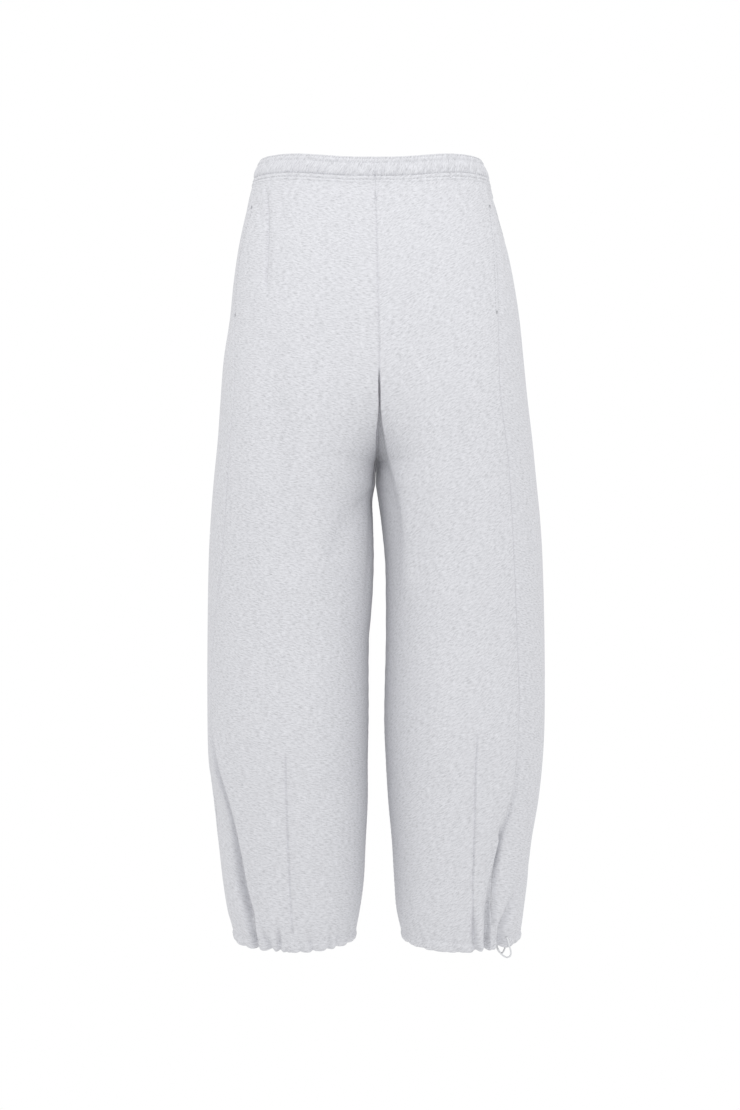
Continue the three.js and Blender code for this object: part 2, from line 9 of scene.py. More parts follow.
import bmesh
import bpy
import numpy as np
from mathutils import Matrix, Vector


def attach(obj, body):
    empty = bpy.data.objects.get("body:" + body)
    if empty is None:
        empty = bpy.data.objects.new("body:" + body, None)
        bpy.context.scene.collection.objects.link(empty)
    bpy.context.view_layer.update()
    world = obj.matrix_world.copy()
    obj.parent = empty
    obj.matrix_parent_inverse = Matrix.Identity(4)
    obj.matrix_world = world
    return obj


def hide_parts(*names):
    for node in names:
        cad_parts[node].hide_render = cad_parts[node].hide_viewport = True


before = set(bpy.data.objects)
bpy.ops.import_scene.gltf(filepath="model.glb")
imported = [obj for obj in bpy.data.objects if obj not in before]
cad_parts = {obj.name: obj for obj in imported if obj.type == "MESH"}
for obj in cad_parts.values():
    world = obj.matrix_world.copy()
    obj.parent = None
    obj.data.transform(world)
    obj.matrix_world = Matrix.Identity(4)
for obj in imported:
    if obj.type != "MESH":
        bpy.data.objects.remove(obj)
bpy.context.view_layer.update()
MM = 0.001
print("pieces in the frame:", len(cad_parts))

# %% [markdown]
# The camera looks straight at the front from a little under three metres, level, at half the
# garment's height. A long lens keeps the legs nearly parallel, as in a shop photograph.

# %% Camera
VIEW_DISTANCE = 2750.0
VIEW_HEIGHT = -501.0
VIEW_SIDE = -1.25
FRAME_TALL = 1110 * 1.25  # millimetres of the garment's own plane that fit in the picture's height

lens = bpy.data.cameras.new("camera")
lens.sensor_fit = "VERTICAL"
lens.sensor_height = 24.0
lens.lens = lens.sensor_height * VIEW_DISTANCE / FRAME_TALL
lens.clip_end = 60.0
camera = bpy.data.objects.new("camera", lens)
camera.location = (VIEW_SIDE * MM, -VIEW_DISTANCE * MM, VIEW_HEIGHT * MM)
camera.rotation_euler = (math.radians(90), 0, 0)
bpy.context.scene.collection.objects.link(camera)
bpy.context.scene.camera = camera
print("lens", round(lens.lens, 1), "mm")

# %% [markdown]
# A cloth piece follows the outline of the filled-out garment. These tables are the same named
# sizes that the solids are made from, in millimetres: a row for each height, a column for each
# size. Right and left are the wearer's, and the wearer's right leg is at -X.

# %% Sizes
WALL = 2.2
BAND_WALL = 3.4
CASING_WALL = 3.0
BAND_TOP, BAND_FOOT, STRIP_FOOT = -2.5, -26.0, -34.0
SIDE_DROP, FRONT_DIP, DIP_POWER, BACK_RISE, DIP_FOOT = 6.5, 8.0, 8, 8.0, -200.0
LEAVE, CROTCH, SPLIT_FOOT = -255.0, -385.0, -412.0
CASING_TOP, HEM, HEM_DIP = -967.0, -981.0, 5.0
GATHER_TOP = -880.0
FRONT_GATHERS, BACK_GATHERS, BAND_GATHERS = 11, 13, 56
SEAM_GAP = 0.06  # the dressed pieces lie closer together than the solids, as sewn cloth does


def table(names, *rows):
    """A table as one array for each named column."""
    return dict(zip(names.split(), np.array(rows, float).T))


OUTLINE = table(
    "z right_out left_out front back centre peak bend",
    (0, -137, 136.5, 78, 80, 5, 0.10, 2.2),
    (-8, -140.5, 140, 79, 81, 5, 0.10, 2.2),
    (-26, -146, 146.5, 81, 85, 5, 0.10, 2.2),
    (-58, -153.5, 155, 90, 98, 6, 0.13, 2.2),
    (-108, -164, 168, 101, 114, 7, 0.18, 2.25),
    (-158, -171, 177.5, 110, 129, 8, 0.24, 2.3),
    (-208, -176, 185, 117, 138, 9, 0.32, 2.3),
    (-258, -183.5, 190, 120, 142, 10, 0.40, 2.3),
    (-308, -187.5, 195, 122, 139, 10, 0.46, 2.25),
    (-358, -191, 201, 120, 132, 9, 0.49, 2.2),
    (-408, -196, 206, 118, 125, 6, 0.50, 2.15),
    (-458, -200, 211, 114, 120, 6, 0.50, 2.1),
    (-508, -202.5, 214, 111, 117, 6, 0.50, 2.1),
    (-608, -204, 216.5, 106, 115, 6, 0.50, 2.1),
    (-708, -204, 216.5, 105, 115, 6, 0.50, 2.1),
    (-758, -202.5, 214, 102, 111, 6, 0.50, 2.1),
    (-808, -196.5, 208.5, 98, 106, 6, 0.50, 2.1),
    (-858, -191, 200, 92, 98, 6, 0.50, 2.1),
    (-908, -185, 195, 84, 88, 6, 0.50, 2.1),
    (-945, -179, 190, 78, 80, 6, 0.50, 2.1),
    (-960, -174.5, 187.5, 74, 76, 6, 0.50, 2.1),
    (-985, -168, 183, 67, 68, 6, 0.50, 2.1),
)
INNER = table(
    "z right left",
    (SPLIT_FOOT, 5.4, 5.8),
    (-433, 1.8, 9),
    (-458, 2.5, 12.5),
    (-508, 3.5, 17.5),
    (-558, 1.5, 18.5),
    (-608, -2.5, 18.5),
    (-708, -3, 16.5),
    (-758, -4, 18.5),
    (-808, -4, 21.5),
    (-858, -6.5, 26),
    (-908, -9, 29),
    (-945, -14, 32),
    (-985, -22, 42),
)
SIDE_SEAM = table(
    "z right left",
    (0, -131, 132),
    (-26, -142, 142),
    (-58, -149, 149),
    (-108, -161, 155),
    (-158, -168.5, 158.5),
    (-208, -171, 160),
    (-308, -172, 163),
    (-358, -177, 169.5),
    (-408, -180, 174.5),
    (-508, -187.5, 180),
    (-608, -198, 184),
    (-658, -200, 186),
    (-708, -199, 185.5),
    (-758, -190, 181.5),
    (-808, -176, 174),
    (-858, -167, 160),
    (-908, -158.5, 148),
    (-945, -148, 144.5),
    (-985, -138, 142),
)
print("outline rows:", len(OUTLINE["z"]))

# %% [markdown]
# The section of one leg at a height is four quarter curves between an ellipse and a rounded
# box. Above the crotch the inner quarters stop at the plane of the centre seams, and between the
# belly and the crotch they stop further and further back, which draws the curved crotch seam.

# %% The section of a leg
QUARTER = 60
SIDE_NAMES = {-1: "right", 1: "left"}


def ease(t):
    t = np.clip(t, 0, 1)
    return t * t * (3 - 2 * t)


def fade(z, start, end):
    return ease((z - start) / (end - start))


def read(rows, column, z):
    """A smooth curve through one column of a table whose rows go down."""
    heights, values = rows["z"], rows[column]
    last = len(heights) - 1
    if z >= heights[0]:
        return values[0]
    if z <= heights[last]:
        return values[last]
    i = int(np.argmax(heights <= z)) - 1

    def slope(k):
        a, b = max(k - 1, 0), min(k + 1, last)
        return (values[b] - values[a]) / (heights[b] - heights[a])

    span = heights[i + 1] - heights[i]
    t = (z - heights[i]) / span
    rise = values[i + 1] - values[i]
    start, end = slope(i) * span, slope(i + 1) * span
    return values[i] + start * t + (3 * rise - 2 * start - end) * t**2 + (start + end - 2 * rise) * t**3


def inner_edge(side, z):
    centre = read(OUTLINE, "centre", z) + side * SEAM_GAP / 2
    if z >= CROTCH:
        return centre
    foot = read(INNER, SIDE_NAMES[side], min(z, SPLIT_FOOT))
    return centre + (foot - centre) * fade(z, CROTCH, SPLIT_FOOT)


def rise_share(z):
    return math.sqrt(1 - min(max((z - LEAVE) / (CROTCH - LEAVE), 0), 1) ** 2)


def section(side, z, whole=False):
    """One leg's section, from its inner edge round the front, the side and the back."""
    power = 2 / read(OUTLINE, "bend", z)
    out = read(OUTLINE, SIDE_NAMES[side] + "_out", z)
    inner = inner_edge(side, z)
    deepest = inner + (out - inner) * read(OUTLINE, "peak", z)
    turn = math.pi / 2 if whole else max(math.acos(rise_share(z) ** (1 / power)), 1e-3)
    front, back = -read(OUTLINE, "front", z), read(OUTLINE, "back", z)

    def quarter(shares, edge, depth, reach):
        angle = reach * shares
        x = deepest + (edge - deepest) * (np.sin(angle) / math.sin(reach)) ** power
        return x, depth * np.maximum(np.cos(angle), 0) ** power

    up = np.arange(QUARTER) / QUARTER
    parts = [
        quarter(1 - up, inner, front, turn),
        quarter(up, out, front, math.pi / 2),
        quarter(1 - up, out, back, math.pi / 2),
        quarter(np.append(up, 1), inner, back, turn),
    ]
    x, y = (np.concatenate([part[k] for part in parts]) for k in (0, 1))
    along = np.concatenate([[0], np.cumsum(np.hypot(np.diff(x), np.diff(y)))])
    scale = VIEW_DISTANCE / (VIEW_DISTANCE + y)
    seen_x = side * (VIEW_SIDE + (x - VIEW_SIDE) * scale)
    aim = side * read(SIDE_SEAM, SIDE_NAMES[side], z)
    quarter_span = slice(QUARTER, 2 * QUARTER + 1)
    seam = float(np.interp(aim, seen_x[quarter_span], along[quarter_span]))
    dx, dy = np.gradient(x), np.gradient(y)
    size = np.hypot(dx, dy)
    return {
        "x": x,
        "y": y,
        "along": along,
        "length": along[-1],
        "seam": seam,
        "out_x": side * dy / size,
        "out_y": -side * dx / size,
    }


def on_section(shape, places):
    return [np.interp(places, shape["along"], shape[k]) for k in ("x", "y", "out_x", "out_y")]


for level, z in (("thigh", -420), ("hem", HEM)):
    print(level, "girth", round(section(-1, z)["length"]), "mm")

# %% [markdown]
# Folds are drawn as lines down the cloth, x across and z up, as seen from that face.
# A soft fold is a rounded trough or, with a negative depth, a ridge. A crease is sharp and narrow,
# such as a dart's seam. A lap drops on the +X side of its line and rises on the other side, and a
# tuck sinks the cloth there straight back, so it hides in the dark behind the edge. A gather starts
# softly and runs off the hem at its full depth. A facet flattens cloth only where it faces forwards.

# %% Folds
FOLDS = [
    # face, kind, depth, width, line from top to bottom
    ("front", "soft", 3.5, 16, [(-131, -40), (-131, -107), (-133, -180)]),
    ("front", "crease", 2.2, 2.0, [(-131.2, -38), (-131.2, -107), (-133.8, -172)]),
    ("front", "soft", -1.8, 6, [(-123, -40), (-122, -107), (-126, -172)]),
    ("front", "crease", 1.2, 2.6, [(-144, -58), (-140.6, -76), (-141.3, -90)]),
    ("front", "crease", 1.1, 3.2, [(-115.5, -40), (-113, -62), (-109, -86)]),
    ("front", "soft", 5.5, 20, [(-130, -176), (-112, -397), (-95, -545)]),
    ("front", "soft", -4, 24, [(-96, -200), (-78, -400), (-66, -560)]),
    ("front", "soft", 4, 20, [(118, -300), (112, -430), (98, -560)]),
    ("front", "soft", 2.5, 13, [(52, -120), (44, -240), (30, -350)]),
    ("front", "soft", 3, 14, [(2, -418), (-30, -462), (-52, -520)]),
    ("front", "crease", 1.3, 2.6, [(3.4, -388), (0, -450), (-2.5, -510), (-7.5, -565)]),
    ("front", "crease", 1.4, 3, [(3, -417), (-6, -429), (-17, -443)]),
    ("front", "facet", 5, 9, [(13, -375), (20, -425), (23, -480), (20, -575)]),
    ("front", "soft", -3, 12, [(38, -385), (44, -430), (47, -490), (44, -575)]),
    ("front", "soft", 3, 9, [(-107, -735), (-104, -870), (-97, -1000)]),
    ("front", "crease", 1.4, 1.1,
     [(-107, -741), (-106.3, -795), (-103.8, -870), (-100, -945), (-97, -985)]),
    ("front", "soft", 3, 9, [(134, -715), (130, -850), (128, -1000)]),
    ("front", "crease", 1.6, 1.1,
     [(133.8, -719), (131.3, -772), (130.7, -832), (128, -919), (129, -985)]),
    ("front", "soft", 7, 12, [(-206, -760), (-178, -850), (-160, -915), (-142, -975)]),
    ("front", "soft", 7, 12, [(186, -790), (168, -852), (152, -905), (149, -975)]),
    ("front", "crease", 4.5, 2,
     [(166, -836), (164.6, -856), (159.9, -881), (156.6, -904), (155, -930), (154.5, -972)]),
    ("front", "crease", -3.5, 2.6,
     [(163, -852), (157, -880), (152.5, -906), (150, -930), (149.5, -972)]),
    ("front", "crease", 2.4, 2.4,
     [(146.3, -40), (153.8, -61), (163.8, -96), (169, -130), (172.5, -155)]),
    ("front", "gather", 10, 4,
     [(203, -868), (189.5, -902), (181, -927), (172.5, -949), (164, -967), (160, -1004)]),
    ("front", "tuck", 18, 10, [(205, -860), (189.5, -902), (181, -927), (172.5, -949), (164, -967)]),
    ("front", "gather", 6.5, 4, [(-154, -915), (-141.5, -966), (-129, -988), (-122, -1006)]),
    ("front", "gather", 3.6, 2.4, [(-159, -930), (-155, -958), (-147, -975), (-139, -1004)]),
    ("front", "gather", 5.4, 2.8, [(-118, -955), (-116, -975), (-114, -1004)]),
    ("front", "gather", 2.2, 2.4, [(-109, -974), (-106.6, -992), (-105, -1006)]),
    ("front", "gather", 2.2, 2.8, [(-94, -962), (-91.5, -984), (-87, -1006)]),
    ("front", "gather", 3.6, 2.6, [(-80, -955), (-77, -984), (-68, -1006)]),
    ("front", "gather", 2.6, 3, [(-44, -958), (-50, -981), (-57, -1006)]),
    ("front", "gather", 4, 2.8, [(-32, -958), (-38.8, -977), (-43, -1006)]),
    ("front", "gather", 2.4, 3.4, [(-22, -948), (-26, -975), (-30, -1006)]),
    ("front", "gather", 5.5, 3.6, [(128.5, -930), (129, -955), (129.5, -980), (133, -1006)]),
    ("front", "gather", 1.8, 2.6, [(103, -970), (105.5, -987), (113, -1006)]),
    ("front", "gather", 4.5, 3, [(145, -925), (143.8, -951), (143, -1004)]),
    ("front", "gather", 2.4, 2.4, [(154.4, -930), (154, -960), (152, -1004)]),
    ("front", "gather", 1.8, 3.4, [(38, -948), (45, -980), (50, -1006)]),
    ("front", "gather", 1.4, 3.4, [(60, -966), (63, -984), (64, -1006)]),
    ("front", "soft", -3, 26, [(-60, -600), (-72, -700), (-60, -800)]),
    ("front", "soft", -3, 26, [(80, -600), (88, -700), (84, -800)]),
    ("back", "soft", 6, 22, [(-30, -330), (-95, -395), (-165, -430)]),
    ("back", "soft", 6, 22, [(42, -335), (105, -398), (172, -440)]),
    ("back", "soft", 5.5, 20, [(-150, -470), (-118, -600), (-96, -740)]),
    ("back", "soft", 5.5, 20, [(160, -480), (132, -610), (108, -745)]),
    ("back", "soft", -3, 26, [(-80, -560), (-60, -680), (-62, -800)]),
    ("back", "soft", -3, 26, [(88, -570), (74, -690), (80, -810)]),
    ("back", "soft", 5, 12, [(-66, -790), (-78, -880), (-72, -975)]),
    ("back", "soft", 5, 12, [(84, -800), (96, -885), (92, -975)]),
    ("back", "crease", 1.3, 3, [(-112, -38), (-117, -90), (-115, -150)]),
    ("back", "crease", 1.1, 3, [(96, -38), (99, -70), (97, -112)]),
    ("back", "lap", 1.6, 9, [(-20, -372), (-58, -398), (-104, -412)]),
    ("back", "lap", -1.6, 9, [(28, -376), (70, -402), (112, -418)]),
]
# The shares of a line over which a fold of each kind fades in at its top and out at its foot.
ENDS = {
    "soft": (0.33, 0.17),
    "crease": (0.08, 0.08),
    "lap": (0.4, 0.2),
    "gather": (0.75, 0.01),
    "facet": (0.25, 0.4),
    "tuck": (0.2, 0.05),
}
SHARP = ("crease", "lap", "gather", "tuck")
TUCK_FACING = 0.4  # a tuck is whole where the cloth faces forwards by at least this share
LAP_EDGE = 1.2  # half the distance over which a lap or a tuck drops


def line_place(line, x, z):
    """Distance to a line, positive on its +X side, and the share of the way along it."""
    best = np.full(x.shape, np.inf)
    signed, place = np.zeros(x.shape), np.zeros(x.shape)
    for i, ((ax, az), (bx, bz)) in enumerate(zip(line, line[1:])):
        dx, dz = bx - ax, bz - az
        t = np.clip(((x - ax) * dx + (z - az) * dz) / (dx * dx + dz * dz), 0, 1)
        gap = np.hypot(x - ax - t * dx, z - az - t * dz)
        nearer = gap < best
        best = np.where(nearer, gap, best)
        signed = np.where(nearer, gap * np.sign((z - az) * dx - (x - ax) * dz), signed)
        place = np.where(nearer, (i + t) / (len(line) - 1), place)
    return signed, place


def fold_push(face, x, z, facing):
    """How far the folds push the cloth out and sink it straight back, and what of it is gathers."""
    push, sunk, gathered = np.zeros((3, *x.shape))
    for fold_face, kind, depth, width, line in FOLDS:
        if fold_face != face:
            continue
        gap, place = line_place(line, x, z)
        top, foot = ENDS[kind]
        ends = fade(place, 0, top) * fade(1 - place, 0, foot)
        drop = depth * ends * np.exp(-((gap / width) ** 2))
        if kind == "facet":
            drop *= facing**2
        if kind == "tuck":
            sunk += drop * np.clip(facing / TUCK_FACING, 0, 1) * np.maximum(np.tanh(gap / LAP_EDGE), 0)
            continue
        push -= drop * (np.tanh(gap / LAP_EDGE) if kind == "lap" else 1)
        if kind == "gather":
            gathered -= drop
    return push, sunk, gathered


print("fold lines:", len(FOLDS))

# %% [markdown]
# The drawcord gathers the hem and the elastic gathers the waist. A gather is a round ridge between
# two narrow valleys, and each one has its own strength. Those of the hem run up the leg for
# different lengths. On the front of the hem the photo's own valleys are drawn as folds above, so
# the even ones are weak there. The waist's gathers lean to the side, as the elastic pulls them.

# %% Gathers
HEM_STRENGTH = 2.6
FRONT_SHARE = 0.4  # strength of the even gathers on the front of a hem
HEM_RIPPLE = 0.45  # share of a gather's depth by which it lifts the edge of the hem
GATHER_REACH = (10.0, 42.0)  # the shortest and the longest run up the leg
BAND_STRENGTH = 2.3
BAND_LEAN = -0.55  # how far a waist gather moves across for each millimetre that it rises


def uneven(index, seed):
    """A repeatable number from 0 to 1 for each gather."""
    value = np.sin(np.asarray(index) * 12.9898 + seed * 78.233) * 43758.5453
    return value - np.floor(value)


def ridges(turn, seed):
    """0 in the valleys, which lie at the whole turns, and up to about 1.3 on the ridges."""
    return np.abs(np.sin(np.pi * turn)) ** 0.8 * (0.5 + 0.8 * uneven(np.floor(turn), seed))


def hem_wave(front, share, z):
    count = np.where(front, FRONT_GATHERS, BACK_GATHERS)
    turn = count * share + 0.3 * np.sin(2 * np.pi * 2.3 * share + 1.1) * np.sin(np.pi * share)
    reach = GATHER_REACH[0] + (GATHER_REACH[1] - GATHER_REACH[0]) * uneven(np.floor(turn), 2.0) ** 2
    above = np.maximum(z - CASING_TOP, 0)
    level = 0.55 * np.exp(-above / 20)
    wave = ridges(turn, 1.0) * np.exp(-((above / reach) ** 1.3)) - level
    return HEM_STRENGTH * wave * np.where(front, FRONT_SHARE, 1)


WAIST_GIRTH = 880.0
WAIST_PITS, PIT_DEPTH = 200, 1.2  # where the thread pulls the seam of the band in, and how far


def waist_wave(turns, z, rise):
    """turns is the share of the way round the waist, from the centre front by the wearer's right."""
    lean = BAND_LEAN * (z - BAND_FOOT) / WAIST_GIRTH
    turn = BAND_GATHERS * (turns - lean)
    turn = turn + 0.35 * np.sin(2 * np.pi * 9 * turns) + 0.2 * np.sin(2 * np.pi * 23 * turns)
    pits = PIT_DEPTH * np.cos(np.pi * WAIST_PITS * turns) ** 2 * np.exp(-((z - BAND_FOOT) ** 2))
    return BAND_STRENGTH * rise * (ridges(turn, 3.0) - 0.5) - pits


print("gathers on one hem:", FRONT_GATHERS + BACK_GATHERS, "and round the waist:", BAND_GATHERS)

# %% [markdown]
# Seams are grooves with a faint pucker from the thread. Down the side seam the front panel laps
# over the back one in two stretches: the pocket mouth, and the fold above the gathered hem. There
# the back panel sinks straight back behind the front one's edge, which gives the dark line.

# %% Seams
SEAM_DEPTH, SEAM_WIDTH = 1.3, 1.3
PUCKER, PUCKER_PITCH, PUCKER_WIDTH = 0.2, 5.6, 6.0
MOUTH_TOP, MOUTH_FOOT = -66.0, -207.0
SEAM_LAP = table(
    "z right left over under_right under_left",
    (-52, 0, 0, 6, 6, 6),
    (-70, 3, 3, 6, 7, 7),
    (-196, 3, 3, 6, 7, 7),
    (-214, 0, 0, 6, 7, 7),
    (-400, 0, 0, 9, 14, 6),
    (-690, 0, 0, 10, 14, 6),
    (-725, 11, 2, 12, 15, 6),
    (-765, 16, 4, 12, 15, 6),
    (-810, 17, 5.5, 12, 15, 6),
    (-860, 17, 7, 12, 14, 6),
    (-930, 16, 11, 10, 12, 7),
    (-985, 9, 9, 8, 10, 7),
)
LAP_OVER = 0.15  # share of a lap's depth by which the front panel stands out


def seam_push(side, z, from_seam, from_inner):
    """The push out and the sink straight back. from_seam is below 0 on the front panel."""
    push = np.zeros(from_seam.shape)
    for gap in (from_seam, from_inner):
        push -= SEAM_DEPTH * np.exp(-((gap / SEAM_WIDTH) ** 2))
        thread = np.sin(2 * np.pi * z / PUCKER_PITCH + 2.5 * np.sin(z / 31))
        push += PUCKER * thread * np.exp(-((gap / PUCKER_WIDTH) ** 2))
    heights = SEAM_LAP["z"][::-1]
    name = SIDE_NAMES[side]
    keys = (name, "over", "under_" + name)
    lap, over, under = (np.interp(z, heights, SEAM_LAP[key][::-1]) for key in keys)
    step = np.tanh(from_seam / LAP_EDGE)
    push -= LAP_OVER * lap * np.minimum(step, 0) * np.exp(-((from_seam / over) ** 2))
    return push, lap * np.maximum(step, 0) * np.exp(-((from_seam / under) ** 2))


print("pocket mouth", round(MOUTH_TOP - MOUTH_FOOT), "mm long")

# %% [markdown]
# Below the belly the thighs part. A narrow dark slit opens at the centre seam, and under it the
# wearer's left thigh turns in early, so the shaded hollow widens downwards on that side.

# %% The hollow between the thighs
CLEFT = table(
    "z left right depth",
    (-266, 9.9, 10.3, 0),
    (-282, 9.3, 11.0, 6),
    (-298, 9.4, 11.6, 8),
    (-312, 10.0, 11.7, 6),
    (-322, 9.4, 12.2, 8),
    (-335, 8.3, 13.4, 12),
    (-346, 6.9, 15.0, 15),
    (-358, 6.4, 16.8, 17),
    (-371, 6.2, 19.0, 18),
    (-389, 4.0, 22.6, 17),
    (-411, 3.0, 29.0, 13),
    (-442, 3.0, 36.0, 8),
    (-480, 4.0, 40.0, 4),
    (-560, 6.0, 38.0, 0),
)
CLEFT_LEFT_EDGE, CLEFT_RIGHT_EDGE = 1.0, 0.2  # a distance, and a share of the hollow's width
CLEFT_START, CLEFT_WHOLE = -8.0, -30.0  # depths between which the hollow's push comes in


def cleft_push(x, z, y):
    """How far back the cloth lies in the hollow, at points seen from in front."""
    heights = CLEFT["z"][::-1]
    left, right, depth = (np.interp(z, heights, CLEFT[name][::-1]) for name in ("left", "right", "depth"))
    soft = 0.8 + CLEFT_RIGHT_EDGE * (right - left)
    inside = ease((x - left) / CLEFT_LEFT_EDGE + 0.5) * ease((right - x) / soft + 0.5)
    return depth * inside * fade(y, CLEFT_START, CLEFT_WHOLE)


print("widest part of the hollow:", float((CLEFT["right"] - CLEFT["left"]).max()), "mm")

# %% [markdown]
# The cloth function puts these together. It takes a leg, heights down it and places along the
# section at each height, and gives the points of the cloth's outer face in millimetres.


# %% The cloth function
def seen(x, y, z):
    scale = VIEW_DISTANCE / (VIEW_DISTANCE + y)
    return VIEW_SIDE + (x - VIEW_SIDE) * scale, VIEW_HEIGHT + (z - VIEW_HEIGHT) * scale


def base_row(side, z, places):
    """One row of the plain form: x, y, height, outwards x and y, and the size of its section."""
    shape = section(side, z)
    x, y, out_x, out_y = on_section(shape, places)
    size = np.hypot(out_x, out_y)
    depth = np.where(places <= shape["seam"], read(OUTLINE, "front", z), read(OUTLINE, "back", z))
    reach = np.clip(np.abs(y) / depth, 0, 1)
    front_slope = -SIDE_DROP - FRONT_DIP * reach**DIP_POWER
    back_slope = BACK_RISE * reach**2 - SIDE_DROP * (1 - reach**2)
    height = z + np.where(y < 0, front_slope, back_slope) * (1 - fade(z, BAND_FOOT, DIP_FOOT))
    height -= np.where(y < 0, HEM_DIP, 0) * reach**2 * fade(z, GATHER_TOP, HEM)
    whole = np.ones_like(x)
    return x, y, height, out_x / size, out_y / size, shape["seam"] * whole, shape["length"] * whole


def cloth(side, heights, places, rise=0.0, pucker=0.0):
    """Points and level outward directions. rise lifts rows off the form, pucker is the waist's."""
    rows = [base_row(side, z, row) for z, row in zip(heights, places)]
    x, y, height, out_x, out_y, seam, length = np.array(rows).transpose(1, 0, 2)
    z = np.broadcast_to(np.asarray(heights)[:, None], x.shape)
    front = places <= seam
    share = np.where(front, places / seam, (length - places) / (length - seam))
    u, v = seen(x, y, height)
    front_push, front_sunk, front_gathers = fold_push("front", u, v, out_y)
    back_push, back_sunk, back_gathers = fold_push("back", x, height, out_y)
    gathers = np.where(y < 0, front_gathers, back_gathers) + hem_wave(front, share, z)
    push = gathers + np.where(y < 0, front_push - front_gathers, back_push - back_gathers)
    seam_out, sunk = seam_push(side, z, places - seam, np.minimum(places, length - places))
    push += seam_out + rise
    sunk += np.where(y < 0, front_sunk + cleft_push(u, v, y), -back_sunk)
    turns = np.where(side < 0, places / length / 2, 1 - places / length / 2)
    push += waist_wave(turns, z, pucker)
    height = height - HEM_RIPPLE * gathers * fade(z, CASING_TOP, HEM)
    held = 1 - fade(z, SPLIT_FOOT, CROTCH) * np.exp(-((np.minimum(places, length - places) / 4) ** 2))
    points = np.stack([x + push * out_x * held, y + push * out_y + sunk, height], axis=-1)
    return points, np.stack([out_x, out_y, np.zeros_like(x)], axis=-1)


CROWDING = 6  # the highest power by which the columns crowd at an inner edge


def panel_places(side, face, z, shares):
    """Places along a section for shares of a front or back panel, counted from its inner edge."""
    shape, whole = section(side, z), section(side, z, True)
    front = face == "front"
    own = shape["seam"] if front else shape["length"] - shape["seam"]
    reach = own - (0 if z > CROTCH else SEAM_GAP / 2)
    lost = (whole["seam"] if front else whole["length"] - whole["seam"]) - reach
    power = min(max(0.9 * (reach + lost) / max(lost, 1e-6), 1), CROWDING)
    from_seam = 1 - shares
    crowded = (reach + lost) * from_seam - lost * from_seam**power
    turn = fade(z, LEAVE, LEAVE - 50)
    away = np.maximum(reach * from_seam * (1 - turn) + crowded * turn, SEAM_GAP / 2)
    return shape["seam"] + (-away if front else away)


knee = panel_places(1, "front", -600, np.array([0.0, 1.0]))
print("the front panel ends at", knee.round(1), "mm round the leg at the knee")

# %% [markdown]
# The fleece is a melange: light and darker fibres are mixed before spinning, so it shows short
# streaks along the yarn, a little cloudiness and a few dark flecks. Its jersey face has fine
# vertical ribs of stitches, and its inside is brushed to a soft nap. All of it comes from noise
# in the cloth's own UV, which is in metres, so nothing stretches where the garment is curved.


# %% Materials
def node(tree, kind, inputs=None, **settings):
    made = tree.nodes.new(kind)
    for name, value in settings.items():
        setattr(made, name, value)
    for name, value in (inputs or {}).items():
        if isinstance(value, bpy.types.NodeSocket):
            tree.links.new(value, made.inputs[name])
        else:
            made.inputs[name].default_value = value
    return made


def blank(name):
    material = bpy.data.materials.new(name)
    material.use_nodes = True
    return material, material.node_tree, material.node_tree.nodes["Principled BSDF"]


def noise(tree, where, scale, stretch=(1, 1, 1), turn=0.0, detail=2.0, rough=0.6):
    """Noise of that many features a metre, drawn out by stretch and turned in the cloth's plane."""
    size = tuple(scale * share for share in stretch)
    mapped = node(tree, "ShaderNodeMapping", {"Vector": where, "Rotation": (0, 0, turn), "Scale": size})
    inputs = {"Vector": mapped.outputs[0], "Scale": 1.0, "Detail": detail, "Roughness": rough}
    return node(tree, "ShaderNodeTexNoise", inputs).outputs["Fac"]


def sums(tree, *terms):
    """Adds up sockets, each times its weight."""
    total = None
    for socket, weight in terms:
        inputs = {0: socket, 1: weight, 2: 0.0 if total is None else total}
        total = node(tree, "ShaderNodeMath", inputs, operation="MULTIPLY_ADD").outputs[0]
    return total


def ramp(tree, value, *stops):
    made = node(tree, "ShaderNodeValToRGB", {"Fac": value})
    made.color_ramp.elements[0].position, made.color_ramp.elements[1].position = stops[0][0], stops[-1][0]
    for place, _ in stops[1:-1]:
        made.color_ramp.elements.new(place)
    for element, (_, color) in zip(made.color_ramp.elements, stops):
        element.color = (*color, 1)
    return made.outputs["Color"]


def shade(color, share):
    return tuple(channel * share for channel in color)


# The fleece's own colour, as linear red, green and blue.
MELANGE = (0.634, 0.638, 0.667)


